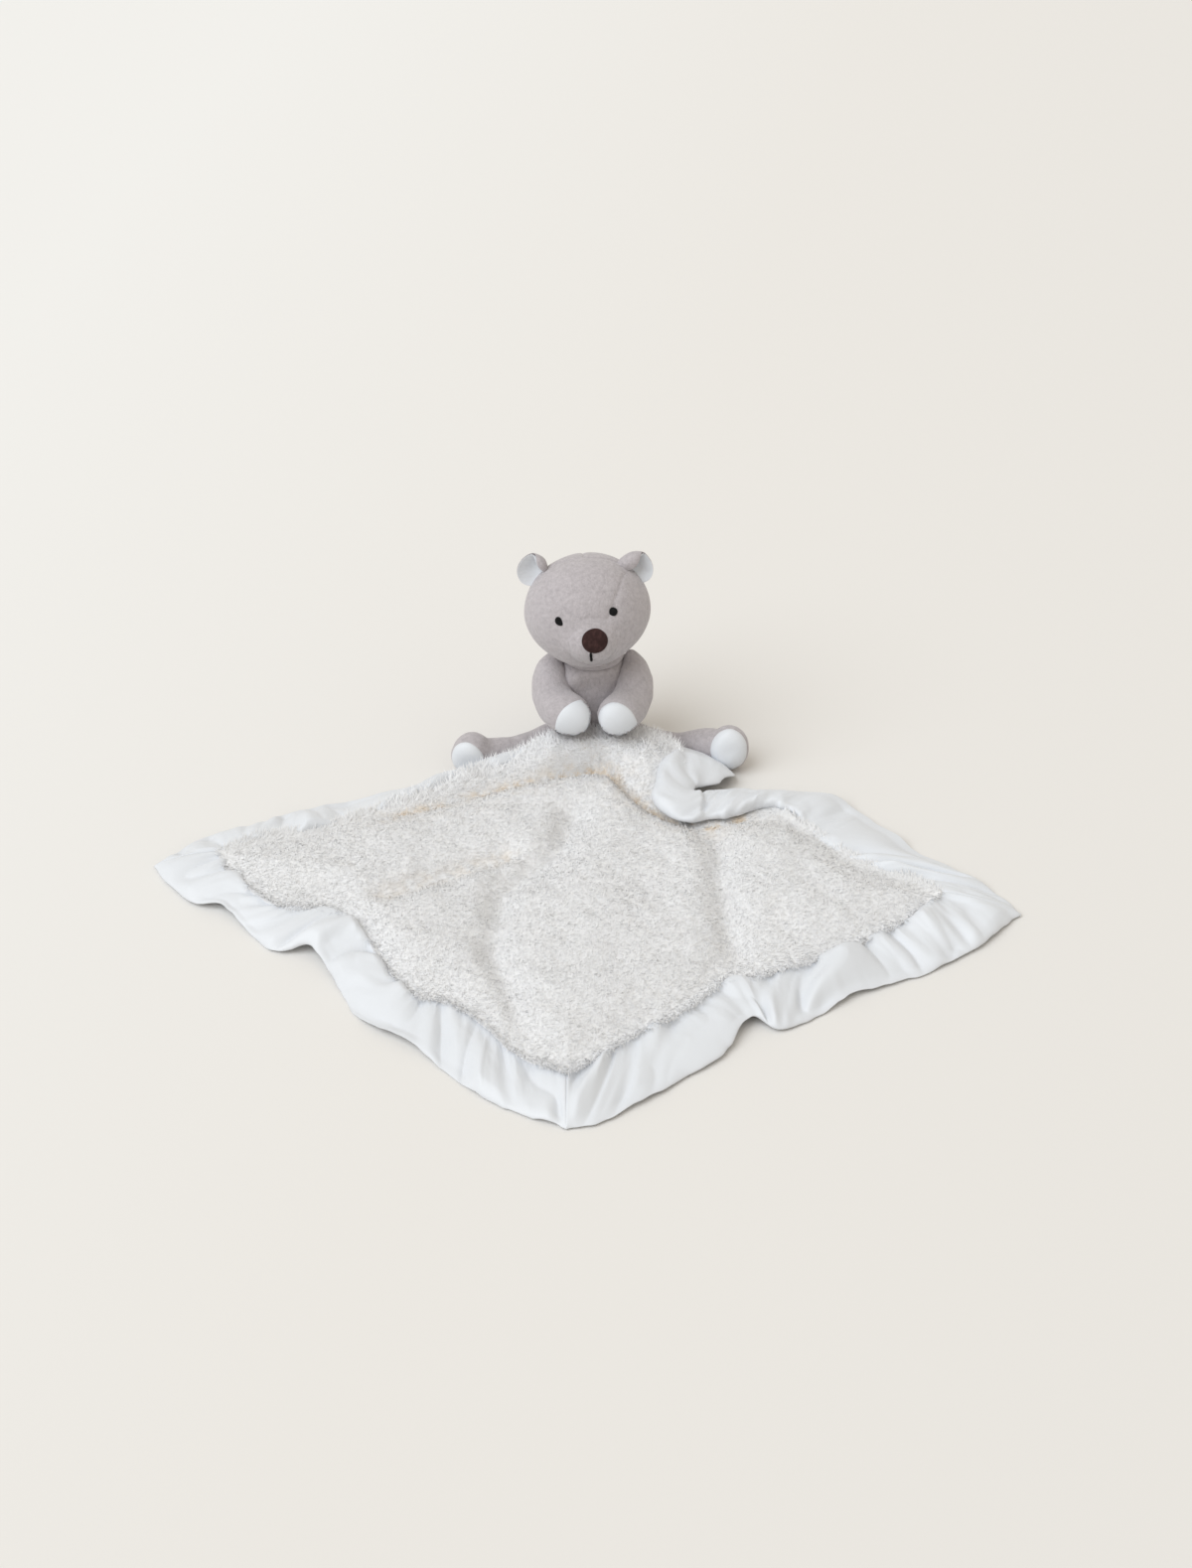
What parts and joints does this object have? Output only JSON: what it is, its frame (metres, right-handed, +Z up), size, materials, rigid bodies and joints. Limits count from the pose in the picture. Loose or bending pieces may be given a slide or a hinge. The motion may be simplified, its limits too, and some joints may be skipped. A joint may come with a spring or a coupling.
{
  "type": "comfort blanket lovey",
  "caption": "Sitting soft toy bear sewn to the back corner of a square fleece comfort blanket with a wide satin border.",
  "frame": {"origin": "middle of the bear's flat seat, on the surface that the toy rests on", "axes": "+Z up, -Y the way the bear faces and towards the blanket's front corner, +X to the right as seen facing the bear"},
  "size_m": [0.4848, 0.3948, 0.1316],
  "materials": {
    "fleece": "long-pile cream fleece",
    "backing": "smooth white lining cloth",
    "satin": "soft white satin",
    "plush": "short-pile taupe grey plush",
    "nose_velour": "dark brown velour",
    "thread": "black embroidery thread",
    "stuffing": "white polyester fibre filling"
  },
  "bodies": {
    "body_and_blanket": {"blanket_fleece": "fleece", "blanket_backing": "backing", "border_back_left": "satin", "border_front_left": "satin", "border_front_right": "satin", "border_back_right": "satin", "tummy_tack": "thread", "torso_cover": "plush", "torso_stuffing": "stuffing"},
    "neck": {"neck_stuffing": "stuffing"},
    "head": {"head_cover": "plush", "head_stuffing": "stuffing", "muzzle_cover": "plush", "nose": "nose_velour", "mouth_stitch": "thread", "eye_left": "thread", "eye_right": "thread"},
    "ear_left": {"ear_left_back": "plush", "ear_left_lining": "satin"},
    "ear_right": {"ear_right_back": "plush", "ear_right_lining": "satin"},
    "arm_left": {"arm_left_cover": "plush", "arm_left_stuffing": "stuffing", "paw_left_pad": "satin"},
    "arm_right": {"arm_right_cover": "plush", "arm_right_stuffing": "stuffing", "paw_right_pad": "satin"},
    "leg_left": {"leg_left_cover": "plush", "leg_left_stuffing": "stuffing", "foot_left_sole": "satin"},
    "leg_right": {"leg_right_cover": "plush", "leg_right_stuffing": "stuffing", "foot_right_sole": "satin"}
  },
  "joints": [
    {"name": "neck_turn", "type": "hinge", "parent": "body_and_blanket", "child": "neck", "pos_m": [0, 0, 0.064], "axis": [0, 0, 1], "range_deg": [-30, 30], "stiffness_Nm_per_rad": 0.2},
    {"name": "neck_nod", "type": "hinge", "parent": "neck", "child": "head", "pos_m": [0, 0, 0.064], "axis": [1, 0, 0], "range_deg": [-10, 10], "stiffness_Nm_per_rad": 0.4},
    {"name": "ear_left_fold", "type": "hinge", "parent": "head", "child": "ear_left", "pos_m": [-0.03206, -0.00108, 0.11394], "axis": [0.6106, 0.1686, 0.7738], "range_deg": [-30, 30], "stiffness_Nm_per_rad": 0.002},
    {"name": "ear_right_fold", "type": "hinge", "parent": "head", "child": "ear_right", "pos_m": [0.0237, -0.00052, 0.11733], "axis": [0.696, -0.0893, -0.7125], "range_deg": [-30, 30], "stiffness_Nm_per_rad": 0.002},
    {"name": "arm_left_open", "type": "hinge", "parent": "body_and_blanket", "child": "arm_left", "pos_m": [-0.02304, -0.00192, 0.05032], "axis": [-0.6, 0, -0.8], "range_deg": [0, 50]},
    {"name": "arm_right_open", "type": "hinge", "parent": "body_and_blanket", "child": "arm_right", "pos_m": [0.02304, -0.00192, 0.05032], "axis": [-0.6, 0, 0.8], "range_deg": [0, 50]},
    {"name": "leg_left_lift", "type": "hinge", "parent": "body_and_blanket", "child": "leg_left", "pos_m": [-0.017, -0.00425, 0.01105], "axis": [-0.4086, 0.9127, 0], "range_deg": [0, 25]},
    {"name": "leg_right_lift", "type": "hinge", "parent": "body_and_blanket", "child": "leg_right", "pos_m": [0.017, -0.00425, 0.01105], "axis": [-0.3366, -0.9416, 0], "range_deg": [0, 25]}
  ]
}
